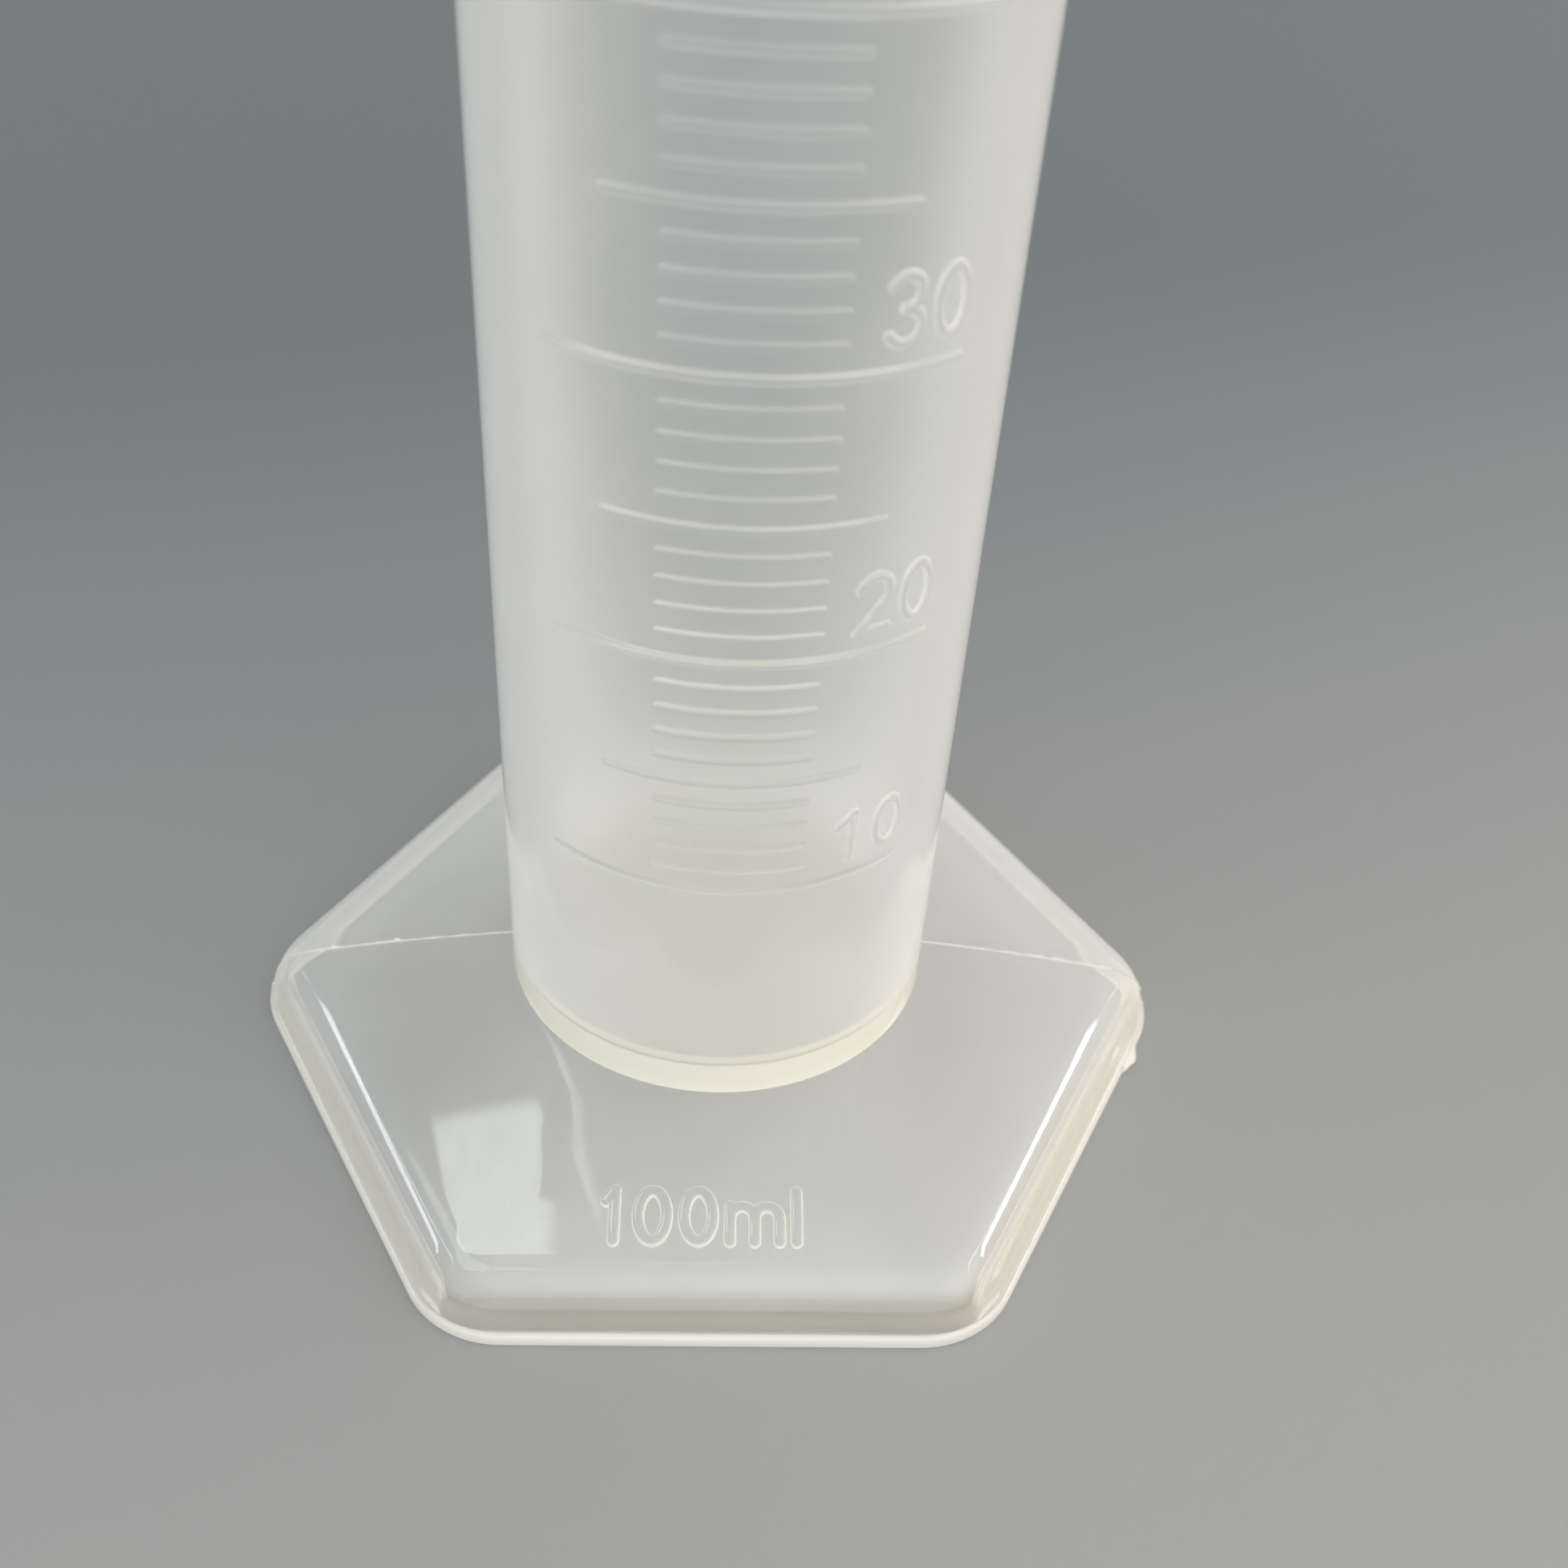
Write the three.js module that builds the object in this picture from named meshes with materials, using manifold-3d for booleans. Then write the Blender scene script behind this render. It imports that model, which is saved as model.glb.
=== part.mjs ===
// A 100 ml graduated cylinder, moulded in translucent polypropylene.
// Millimetres, +Z up. The origin is the centre of the foot, on the surface that it stands on.
// The scale faces -Y. The hexagonal foot has flats on +Y and -Y, and corners on +X and -X.

import * as THREE from "three";
import { mergeVertices } from "three/addons/utils/BufferGeometryUtils.js";
import Module from "manifold-3d";

const wasm = await Module();
wasm.setup();

// ---- Driving dimensions ----

const TUBE_OUTER_RADIUS = 15.2;
const TUBE_WALL = 1.35;
const TUBE_FACETS = 36;

const OVERALL_HEIGHT = 210;
const RIM_HEIGHT = 13; // the flared rim and its spout, down to the plain tube

const FLOOR_TOP = 8.7; // the inside floor, where the contents start
const FLOOR_THICKNESS = 1.8;
const FLOOR_FILLET = 0.9;

const FOOT_ACROSS_FLATS = 60.4;
const FOOT_CORNER_RADIUS = 7.2;
const FOOT_WALL = 1.3;
const FOOT_TOP = 6.9; // where the top of the foot meets the tube
const FOOT_EDGE_HEIGHT = 4.4; // where the sloping top turns down into the side
const FOOT_EDGE_INSET = 3.3; // from the flats in to that edge
const TOP_DOME = 0.3; // how much of the top's fall is curved, the rest being a straight slope
const SHOULDER_INSET = 0.9; // where the lines of the top and the side would meet
const SIDE_TOP = { inset: 0.6, height: 2.3 }; // where the shoulder becomes the side
const LIP_HEIGHT = 1;
const LIP_PROUD = 0.35;
const LIP_BEVEL = 0.1;
const CAVITY_CORNER_RADIUS = 2.5;
const CAVITY_TAPER = 0.5; // how far the cavity's sides lean in on the way up
const SEAM = { proud: 0.25, thickness: 0.3, sink: 0.4 }; // where the two halves of the mould met

const RIM_FLARE = 2.2; // how much wider the bore is at the lip
const RIM_STRAIGHT = 5; // the plain height below the flare
const RIM_LIP = 0.85; // half the lip's thickness
const RIM_THICKENING = 2 * RIM_LIP - TUBE_WALL;
const SPOUT_REACH = 6.5;
const SPOUT_DIP = 0.9;
const SPOUT_HALF_ANGLE = 42; // the spout points to -X

const CAPACITY = 100; // ml, at the top line
const MARK_SINK = 0.4; // how far the scale reaches into the wall that it is part of
const LONG_LINE = { halfAngle: 45, height: 0.5, proud: 0.3 }; // every 10 ml
const MIDDLE_LINE = { halfAngle: 30, height: 0.45, proud: 0.2 }; // every 5 ml
const SHORT_LINE = { halfAngle: 17.9, height: 0.45, proud: 0.2 }; // every 1 ml

const SCALE_TEXT = { width: 2.65, height: 4.15, stroke: 0.7, pitch: 2.95, above: 1.05, proud: 0.3 };
const FOOT_TEXT = { width: 2.7, height: 4.2, stroke: 0.85, gap: 0.25, proud: 0.25, sink: 0.5 };
const FOOT_TEXT_PLACE = { right: -0.9, forward: 26.1 }; // the middle of its baseline, from the axis

// ---- Sizes worked out from them ----

const TUBE_INNER_RADIUS = TUBE_OUTER_RADIUS - TUBE_WALL;
const MM_PER_ML = 1000 / (Math.PI * TUBE_INNER_RADIUS ** 2);
const TUBE_BOTTOM = FOOT_TOP - FOOT_WALL;
const TUBE_TOP = OVERALL_HEIGHT - RIM_HEIGHT;
const FOOT_APOTHEM = FOOT_ACROSS_FLATS / 2;
const FOOT_EDGE_APOTHEM = FOOT_APOTHEM - FOOT_EDGE_INSET;
const FOOT_CORE = FOOT_APOTHEM - FOOT_CORNER_RADIUS; // what the outer corners are rounded about
const FACET_ANGLE = 360 / TUBE_FACETS;

const degrees = THREE.MathUtils.degToRad;

// ---- Solids ----

// A closed geometry as a manifold-3d solid.
function toSolid(geometry) {
  const bare = geometry.clone();
  bare.deleteAttribute("normal");
  bare.deleteAttribute("uv");
  const weldDistance = 1e-5;
  const merged = mergeVertices(bare, weldDistance);
  const vertProperties = new Float32Array(merged.attributes.position.array);
  const triVerts = new Uint32Array(merged.index.array);
  return new wasm.Manifold(new wasm.Mesh({ numProp: 3, vertProperties, triVerts }));
}

// A manifold-3d solid as a geometry.
function toGeometry(solid) {
  const mesh = solid.getMesh();
  const geometry = new THREE.BufferGeometry();
  geometry.setAttribute("position", new THREE.BufferAttribute(new Float32Array(mesh.vertProperties), 3));
  geometry.setIndex(new THREE.BufferAttribute(new Uint32Array(mesh.triVerts), 1));
  geometry.computeVertexNormals();
  return geometry;
}

function join(geometries) {
  return geometries.map(toSolid).reduce((sum, solid) => sum.add(solid));
}

// A body turned about +Z from a closed outline of [radius, height] points, anticlockwise.
function turned(outline) {
  const points = outline.map(([radius, height]) => new THREE.Vector2(radius, height));
  return new THREE.LatheGeometry(points, TUBE_FACETS).rotateX(Math.PI / 2);
}

// A closed skin over rings of points. Each ring runs anticlockwise seen from above, and the
// rings follow each other outwards over the top, down the outside and back up the inside.
function ringLoft(rings) {
  const count = rings[0].length;
  const positions = rings.flat(2);
  const index = [];
  rings.forEach((ring, i) => {
    const here = i * count;
    const next = ((i + 1) % rings.length) * count;
    for (let j = 0; j < count; j++) {
      const k = (j + 1) % count;
      index.push(here + j, next + j, next + k, here + j, next + k, here + k);
    }
  });
  const geometry = new THREE.BufferGeometry();
  geometry.setAttribute("position", new THREE.Float32BufferAttribute(positions, 3));
  geometry.setIndex(index);
  return geometry;
}

// ---- Characters: plain strokes of one width ----

function ellipsePoints(centreX, centreY, radiusX, radiusY, from, to, steps) {
  return Array.from({ length: steps + 1 }, (_, i) => {
    const angle = degrees(from + ((to - from) * i) / steps);
    return new THREE.Vector2(centreX + radiusX * Math.cos(angle), centreY + radiusY * Math.sin(angle));
  });
}

const line = (...coordinates) => coordinates.map(([x, y]) => new THREE.Vector2(x, y));

// The centre lines of a character in a box of width w and height h: open strokes, and bowls
// given as [centre x, centre y, radius x, radius y].
const CHARACTERS = {
  0: (w, h) => ({ strokes: [], bowls: [[w / 2, h / 2, w / 2, h / 2]] }),
  1: (w, h) => ({
    strokes: [line([0.6 * w, 0], [0.6 * w, h]), line([0.6 * w, h], [0.1 * w, 0.78 * h])],
    bowls: [],
  }),
  2: (w, h) => ({
    strokes: [
      [...ellipsePoints(w / 2, h - w / 2, w / 2, w / 2, 165, -30, 6), ...line([0, 0])],
      line([0, 0], [w, 0]),
    ],
    bowls: [],
  }),
  3: (w, h) => ({
    strokes: [
      ellipsePoints(0.46 * w, 0.76 * h, 0.46 * w, 0.24 * h, 150, -90, 7),
      ellipsePoints(w / 2, 0.26 * h, w / 2, 0.26 * h, 90, -150, 7),
    ],
    bowls: [],
  }),
  4: (w, h) => ({
    strokes: [
      line([0.72 * w, 0], [0.72 * w, h]),
      line([0.72 * w, h], [0, 0.3 * h]),
      line([0, 0.3 * h], [w, 0.3 * h]),
    ],
    bowls: [],
  }),
  5: (w, h) => ({
    strokes: [
      line([0.92 * w, h], [0.1 * w, h]),
      line([0.1 * w, h], [0.05 * w, 0.52 * h]),
      ellipsePoints(0.46 * w, 0.31 * h, 0.54 * w, 0.31 * h, 140, -150, 8),
    ],
    bowls: [],
  }),
  6: (w, h) => ({
    strokes: [ellipsePoints(w, 0.31 * h, w, 0.69 * h, 180, 100, 5)],
    bowls: [[w / 2, 0.3 * h, w / 2, 0.3 * h]],
  }),
  7: (w, h) => ({ strokes: [line([0, h], [w, h]), line([w, h], [0.3 * w, 0])], bowls: [] }),
  8: (w, h) => ({
    strokes: [],
    bowls: [
      [w / 2, 0.27 * h, w / 2, 0.27 * h],
      [w / 2, 0.77 * h, 0.44 * w, 0.23 * h],
    ],
  }),
  9: (w, h) => ({
    strokes: [ellipsePoints(0, 0.69 * h, w, 0.69 * h, 0, -80, 5)],
    bowls: [[w / 2, 0.7 * h, w / 2, 0.3 * h]],
  }),
  m: (w, h) => {
    const arch = w / 4;
    const top = 0.7 * h;
    return {
      strokes: [
        line([0, 0], [0, top]),
        [...ellipsePoints(arch, top - arch, arch, arch, 180, 0, 5), ...line([2 * arch, 0])],
        [...ellipsePoints(3 * arch, top - arch, arch, arch, 180, 0, 5), ...line([4 * arch, 0])],
      ],
      bowls: [],
    };
  },
  l: (w, h) => ({ strokes: [line([0, 0], [0, h])], bowls: [] }),
};

// The outline of an open stroke, carried past both ends by half its width.
function strokeShape(points, width) {
  const half = width / 2;
  const sharpest = 0.5; // the cosine that limits how far a sharp turn's corner reaches out
  const direction = (a, b) => b.clone().sub(a).normalize();
  const last = points.length - 1;
  const startDirection = direction(points[0], points[1]);
  const endDirection = direction(points[last - 1], points[last]);
  const path = points.map((point) => point.clone());
  path[0].addScaledVector(startDirection, -half);
  path[last].addScaledVector(endDirection, half);
  const sides = path.map((point, i) => {
    const before = i === 0 ? startDirection : direction(points[i - 1], points[i]);
    const after = i === last ? endDirection : direction(points[i], points[i + 1]);
    const along = before.clone().add(after).normalize();
    const across = new THREE.Vector2(-along.y, along.x);
    const reach = half / Math.max(along.dot(after), sharpest);
    return [point.clone().addScaledVector(across, reach), point.clone().addScaledVector(across, -reach)];
  });
  return new THREE.Shape([...sides.map(([left]) => left), ...sides.map(([, right]) => right).reverse()]);
}

// The outline of a bowl: an ellipse with an elliptical hole.
function bowlShape([x, y, radiusX, radiusY], width) {
  const steps = 10;
  const half = width / 2;
  const ring = (grow) => ellipsePoints(x, y, radiusX + grow, radiusY + grow, 0, 360, steps).slice(0, steps);
  const shape = new THREE.Shape(ring(half));
  shape.holes.push(new THREE.Path(ring(-half)));
  return shape;
}

// One character as flat bars that touch, its box's lower left corner at (left, bottom).
function characterBars(name, left, bottom, width, height, stroke, depth) {
  const { strokes, bowls } = CHARACTERS[name](width - stroke, height - stroke);
  const shapes = [
    ...strokes.map((points) => strokeShape(points, stroke)),
    ...bowls.map((bowl) => bowlShape(bowl, stroke)),
  ];
  return shapes.map((shape) =>
    new THREE.ExtrudeGeometry(shape, { depth, bevelEnabled: false, curveSegments: 1 })
      .translate(left + stroke / 2, bottom + stroke / 2, 0),
  );
}

// ---- The tube and its scale ----

// Rolls a flat geometry on to the tube: x runs round it to the right, y up, z out of the wall.
function wrapOnTube(geometry) {
  const position = geometry.attributes.position;
  for (let i = 0; i < position.count; i++) {
    const angle = position.getX(i) / TUBE_OUTER_RADIUS;
    const radius = TUBE_OUTER_RADIUS - MARK_SINK + position.getZ(i);
    const height = position.getY(i);
    position.setXYZ(i, radius * Math.sin(angle), -radius * Math.cos(angle), height);
  }
  return geometry;
}

function tubePoint(radius, angle) {
  return new THREE.Vector2(radius * Math.sin(degrees(angle)), -radius * Math.cos(degrees(angle)));
}

// The height of a volume above the surface that the foot stands on.
function levelHeight(millilitres) {
  return FLOOR_TOP + millilitres * MM_PER_ML;
}

// One raised line of the scale, bent round the front of the tube. Its corners lie on the
// same angles as the tube's, so that its height above the wall is even.
function scaleLine(millilitres, { halfAngle, height, proud }) {
  const inside = Math.ceil(halfAngle / FACET_ANGLE) - 1;
  const angles = [-halfAngle];
  for (let i = -inside; i <= inside; i++) {
    angles.push(i * FACET_ANGLE);
  }
  angles.push(halfAngle);
  const outer = angles.map((angle) => tubePoint(TUBE_OUTER_RADIUS + proud, angle));
  const inner = angles.map((angle) => tubePoint(TUBE_OUTER_RADIUS - MARK_SINK, angle)).reverse();
  const bar = new THREE.Shape([...outer, ...inner]);
  return new THREE.ExtrudeGeometry(bar, { depth: height, bevelEnabled: false, curveSegments: 1 })
    .translate(0, 0, levelHeight(millilitres) - height / 2);
}

// The number above the right-hand end of a long line, ending where the line ends.
function scaleNumber(millilitres) {
  const { width, height, stroke, pitch, above, proud } = SCALE_TEXT;
  const text = String(millilitres);
  const rightEnd = TUBE_OUTER_RADIUS * degrees(LONG_LINE.halfAngle);
  return [...text].flatMap((name, i) => {
    const left = rightEnd - width - (text.length - 1 - i) * pitch;
    const bottom = levelHeight(millilitres) + above;
    return characterBars(name, left, bottom, width, height, stroke, MARK_SINK + proud).map(wrapOnTube);
  });
}

// The scale starts at 10 ml: below it the tube is plain.
function scaleMarks() {
  const marks = [];
  for (let millilitres = 10; millilitres <= CAPACITY; millilitres++) {
    if (millilitres % 10 === 0) {
      marks.push(scaleLine(millilitres, LONG_LINE), ...scaleNumber(millilitres));
    } else if (millilitres % 5 === 0) {
      marks.push(scaleLine(millilitres, MIDDLE_LINE));
    } else {
      marks.push(scaleLine(millilitres, SHORT_LINE));
    }
  }
  return marks;
}

function graduatedTube() {
  const wall = turned([
    [TUBE_INNER_RADIUS, TUBE_BOTTOM],
    [TUBE_OUTER_RADIUS, TUBE_BOTTOM],
    [TUBE_OUTER_RADIUS, TUBE_TOP],
    [TUBE_INNER_RADIUS, TUBE_TOP],
    [TUBE_INNER_RADIUS, TUBE_BOTTOM],
  ]);
  return toGeometry(join([wall, ...scaleMarks()]));
}

// The disc that closes the tube, with a fillet up to the wall.
function tubeFloor() {
  const steps = 4;
  const fillet = ellipsePoints(
    TUBE_INNER_RADIUS - FLOOR_FILLET, FLOOR_TOP + FLOOR_FILLET, FLOOR_FILLET, FLOOR_FILLET, 0, -90, steps,
  ).map((point) => [point.x, point.y]);
  const underside = FLOOR_TOP - FLOOR_THICKNESS;
  return turned([[0, underside], [TUBE_INNER_RADIUS, underside], ...fillet, [0, FLOOR_TOP]]);
}

// ---- The hexagonal foot ----

// A ring of a hexagon with rounded corners. towardsCircle draws it in to the tube's own circle.
function hexagonRing(apothem, cornerRadius, height, towardsCircle = 0) {
  const cornerSteps = 5;
  const flatSteps = 3;
  const centreDistance = (apothem - cornerRadius) / Math.cos(degrees(30));
  const outline = [];
  for (let corner = 0; corner < 6; corner++) {
    const middle = degrees(60 * corner);
    const centre = new THREE.Vector2(Math.cos(middle), Math.sin(middle)).multiplyScalar(centreDistance);
    const arc = ellipsePoints(
      centre.x, centre.y, cornerRadius, cornerRadius, 60 * corner - 30, 60 * corner + 30, cornerSteps,
    );
    outline.push(...arc);
    const next = degrees(60 * (corner + 1));
    const nextCentre = new THREE.Vector2(Math.cos(next), Math.sin(next)).multiplyScalar(centreDistance);
    const flat = nextCentre.sub(centre);
    for (let step = 1; step < flatSteps; step++) {
      outline.push(arc[cornerSteps].clone().addScaledVector(flat, step / flatSteps));
    }
  }
  return outline.map((point) => {
    const onCircle = point.clone().setLength(TUBE_OUTER_RADIUS - FOOT_WALL);
    const mixed = point.clone().lerp(onCircle, towardsCircle);
    return [mixed.x, mixed.y, height];
  });
}

// How high the foot's top stands, from 0 at the tube to 1 at its edge: a slope, slightly domed.
function footTopHeight(share) {
  const fall = (1 - TOP_DOME) * share + TOP_DOME * share ** 2;
  return FOOT_TOP - (FOOT_TOP - FOOT_EDGE_HEIGHT) * fall;
}

// How steeply the top falls at its edge.
function footEdgeSlope() {
  return ((FOOT_TOP - FOOT_EDGE_HEIGHT) * (1 + TOP_DOME)) / (FOOT_EDGE_APOTHEM - TUBE_OUTER_RADIUS);
}

// Rings over the top of the foot, from inside the tube's wall out to the edge.
function footTop(apothem, cornerRadius, drop) {
  const steps = 5;
  const inner = TUBE_OUTER_RADIUS - FOOT_WALL;
  return Array.from({ length: steps + 1 }, (_, i) => {
    const reach = i / steps;
    const fromTube = (reach * (apothem - inner) - FOOT_WALL) / (apothem - TUBE_OUTER_RADIUS);
    const height = footTopHeight(Math.max(fromTube, 0)) - drop;
    return hexagonRing(apothem, cornerRadius, height, 1 - reach);
  });
}

// The rounded shoulder and the side, as [apothem, height] from the edge of the top down.
function footSide() {
  const steps = 4;
  const meeting = FOOT_APOTHEM - SHOULDER_INSET;
  const meetingHeight = FOOT_EDGE_HEIGHT - footEdgeSlope() * (meeting - FOOT_EDGE_APOTHEM);
  const shoulder = new THREE.QuadraticBezierCurve(
    new THREE.Vector2(FOOT_EDGE_APOTHEM, FOOT_EDGE_HEIGHT),
    new THREE.Vector2(meeting, meetingHeight),
    new THREE.Vector2(FOOT_APOTHEM - SIDE_TOP.inset, SIDE_TOP.height),
  );
  const points = shoulder.getPoints(steps).slice(1).map((point) => [point.x, point.y]);
  const sideFoot = FOOT_APOTHEM - LIP_PROUD;
  return [...points, [sideFoot, LIP_HEIGHT + LIP_BEVEL], [FOOT_APOTHEM, LIP_HEIGHT], [FOOT_APOTHEM, 0]];
}

function footShell() {
  const cavityApothem = FOOT_APOTHEM - LIP_PROUD - FOOT_WALL;
  const ceilingApothem = cavityApothem - CAVITY_TAPER;
  const outside = footTop(FOOT_EDGE_APOTHEM, FOOT_EDGE_APOTHEM - FOOT_CORE, 0);
  const side = footSide().map(([apothem, height]) => hexagonRing(apothem, apothem - FOOT_CORE, height));
  const mouth = hexagonRing(cavityApothem, CAVITY_CORNER_RADIUS, 0);
  const ceiling = footTop(ceilingApothem, CAVITY_CORNER_RADIUS, FOOT_WALL).reverse();
  return ringLoft([...outside, ...side, mouth, ...ceiling]);
}

// The raised seam that the two halves of the mould leave over a corner of the foot.
function footSeam(side) {
  const { proud, thickness, sink } = SEAM;
  const steps = 4;
  const cornerReach = (apothem) => FOOT_CORE / Math.cos(degrees(30)) + (apothem - FOOT_CORE);
  const edgeReach = cornerReach(FOOT_EDGE_APOTHEM);
  const crest = Array.from({ length: steps + 1 }, (_, i) => {
    const share = i / steps;
    const reach = TUBE_OUTER_RADIUS + share * (edgeReach - TUBE_OUTER_RADIUS);
    return new THREE.Vector2(reach, footTopHeight(share));
  });
  const flank = footSide().map(([apothem, height]) => new THREE.Vector2(cornerReach(apothem), height));
  const surface = [...crest, ...flank];
  const last = surface.length - 1;
  const outwards = surface.map((_, i) => {
    const along = surface[Math.min(i + 1, last)].clone().sub(surface[Math.max(i - 1, 0)]).normalize();
    return new THREE.Vector2(-along.y, along.x);
  });
  const raised = surface.map((point, i) => point.clone().addScaledVector(outwards[i], proud));
  const buried = surface.map((point, i) => point.clone().addScaledVector(outwards[i], -sink));
  const outline = [...raised, ...buried.reverse()];
  outline.forEach((point) => point.setY(Math.max(point.y, 0)));
  return new THREE.ExtrudeGeometry(new THREE.Shape(outline), { depth: thickness, bevelEnabled: false })
    .translate(0, 0, -thickness / 2)
    .rotateX(Math.PI / 2)
    .rotateZ(side > 0 ? 0 : Math.PI);
}

// The raised capacity on the front of the foot, laid on the slope of its top.
function capacityMark() {
  const { width, height, stroke, gap, proud, sink } = FOOT_TEXT;
  const widths = { 1: 0.7 * width, 0: width, m: 1.5 * width, l: stroke };
  const text = [...String(CAPACITY), "m", "l"];
  const total = text.reduce((sum, name) => sum + widths[name] + gap, -gap);
  let left = -total / 2;
  const bars = [];
  for (const name of text) {
    bars.push(...characterBars(name, left, 0, widths[name], height, stroke, proud + sink));
    left += widths[name] + gap;
  }
  const { right, forward } = FOOT_TEXT_PLACE;
  const heightAt = (distance) =>
    footTopHeight((distance - TUBE_OUTER_RADIUS) / (FOOT_EDGE_APOTHEM - TUBE_OUTER_RADIUS));
  const slope = Math.atan2(heightAt(forward - height) - heightAt(forward), height);
  return bars.map((bar) =>
    bar
      .translate(right, 0, -sink)
      .rotateX(slope)
      .translate(0, -forward, heightAt(forward)),
  );
}

function hexFoot() {
  const tubeSpace = turned([
    [0, 0],
    [TUBE_OUTER_RADIUS, 0],
    [TUBE_OUTER_RADIUS, 2 * FOOT_TOP],
    [0, 2 * FOOT_TOP],
  ]);
  const shell = join([footShell(), footSeam(1), footSeam(-1), ...capacityMark()]);
  return toGeometry(shell.subtract(toSolid(tubeSpace)));
}

// ---- The rim and its spout ----

// A ring at the rim: its plain radius, and its share of the flare and of the spout.
function rimRing(radius, height, share) {
  const steps = 60;
  const narrowing = 1.5; // how much quicker than a plain wave the spout's sides come in
  return Array.from({ length: steps }, (_, i) => {
    const angle = (360 * i) / steps;
    const fromSpout = Math.min(Math.abs(angle - 180) / SPOUT_HALF_ANGLE, 1);
    const bulge = (0.5 + 0.5 * Math.cos(Math.PI * fromSpout)) ** narrowing;
    const reach = radius + SPOUT_REACH * bulge * share ** 2;
    const drop = SPOUT_DIP * bulge * share;
    return [reach * Math.cos(degrees(angle)), reach * Math.sin(degrees(angle)), height - drop];
  });
}

// Steps up the flare from 0 to 1, closer together towards the lip.
function flareShares() {
  const steps = 4;
  const crowding = 1.5;
  return Array.from({ length: steps + 1 }, (_, i) => 1 - (1 - i / steps) ** crowding);
}

function pourRim() {
  const flareStart = TUBE_TOP + RIM_STRAIGHT;
  const lipHeight = OVERALL_HEIGHT - RIM_LIP;
  const flareRing = (radius, share) =>
    rimRing(radius + RIM_FLARE * share ** 2, flareStart + (lipHeight - flareStart) * share, share);
  const shares = flareShares();
  const inner = shares.map((share) => flareRing(TUBE_INNER_RADIUS, share));
  const outer = shares.map((share) => flareRing(TUBE_OUTER_RADIUS + RIM_THICKENING * share, share));
  const crown = rimRing(TUBE_INNER_RADIUS + RIM_FLARE + RIM_LIP, OVERALL_HEIGHT, 1);
  const innerFoot = rimRing(TUBE_INNER_RADIUS, TUBE_TOP, 0);
  const outerFoot = rimRing(TUBE_OUTER_RADIUS, TUBE_TOP, 0);
  return ringLoft([innerFoot, ...inner, crown, ...outer.reverse(), outerFoot]);
}

// ---- The assembly ----

function polypropylene(colour, opacity) {
  return new THREE.MeshStandardMaterial({
    color: colour,
    roughness: 0.3,
    metalness: 0,
    transparent: true,
    opacity,
  });
}

function part(name, geometry, material) {
  const mesh = new THREE.Mesh(geometry, material);
  mesh.name = name;
  return mesh;
}

const milky = polypropylene(0xcdd0cb, 0.85);
const clear = polypropylene(0xc3c8c6, 0.7);

const cylinder = new THREE.Group();
cylinder.add(
  part("hex_base", hexFoot(), clear),
  part("tube_floor", tubeFloor(), milky),
  part("graduated_tube", graduatedTube(), milky),
  part("pour_rim", pourRim(), milky),
);

export default cylinder;
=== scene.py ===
"""A graduated cylinder in natural polypropylene, on a grey table in a room with overhead windows.

Lengths are millimetres until a mesh or a shader is made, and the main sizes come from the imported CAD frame.
The scale faces -Y, the spout points to -X, and the foot has corners on +X and -X.
"""

import math

import bpy
import numpy as np
from mathutils import Matrix, Vector, noise


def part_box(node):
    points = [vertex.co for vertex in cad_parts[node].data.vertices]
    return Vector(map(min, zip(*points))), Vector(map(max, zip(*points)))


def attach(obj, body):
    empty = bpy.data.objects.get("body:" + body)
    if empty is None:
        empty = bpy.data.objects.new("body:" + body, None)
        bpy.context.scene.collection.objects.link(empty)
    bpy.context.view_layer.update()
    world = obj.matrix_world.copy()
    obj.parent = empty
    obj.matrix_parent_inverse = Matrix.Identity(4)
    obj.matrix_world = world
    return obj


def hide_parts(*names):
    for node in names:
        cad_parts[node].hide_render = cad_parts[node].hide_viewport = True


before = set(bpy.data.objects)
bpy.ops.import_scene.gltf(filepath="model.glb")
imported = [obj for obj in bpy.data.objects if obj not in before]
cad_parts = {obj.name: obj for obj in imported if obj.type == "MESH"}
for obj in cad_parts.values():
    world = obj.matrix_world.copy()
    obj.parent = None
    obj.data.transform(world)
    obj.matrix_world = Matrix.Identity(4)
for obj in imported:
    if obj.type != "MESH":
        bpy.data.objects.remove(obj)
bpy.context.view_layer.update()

MM = 0.001

# ---- Sizes read from the frame ----


def box_mm(node):
    low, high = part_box(node)
    return low / MM, high / MM


tube_low, tube_high = box_mm("graduated_tube")
floor_low, floor_high = box_mm("tube_floor")
rim_low, rim_high = box_mm("pour_rim")

TUBE_RADIUS = tube_high.x
BORE_RADIUS = floor_high.x
TUBE_BOTTOM = tube_low.z
MARK_PROUD = -tube_low.y - TUBE_RADIUS
FLOOR_BOTTOM = floor_low.z
RIM_BOTTOM = rim_low.z
OVERALL_HEIGHT = rim_high.z
FOOT_APOTHEM = box_mm("hex_base")[1].y

# ---- Shape constants, as in the CAD ----

FLOOR_FILLET = 0.9
FLOOR_TOP = floor_high.z - FLOOR_FILLET
CAPACITY = 100
FIRST_LINE = 10
MM_PER_ML = 1000 / (math.pi * BORE_RADIUS**2)

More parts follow.
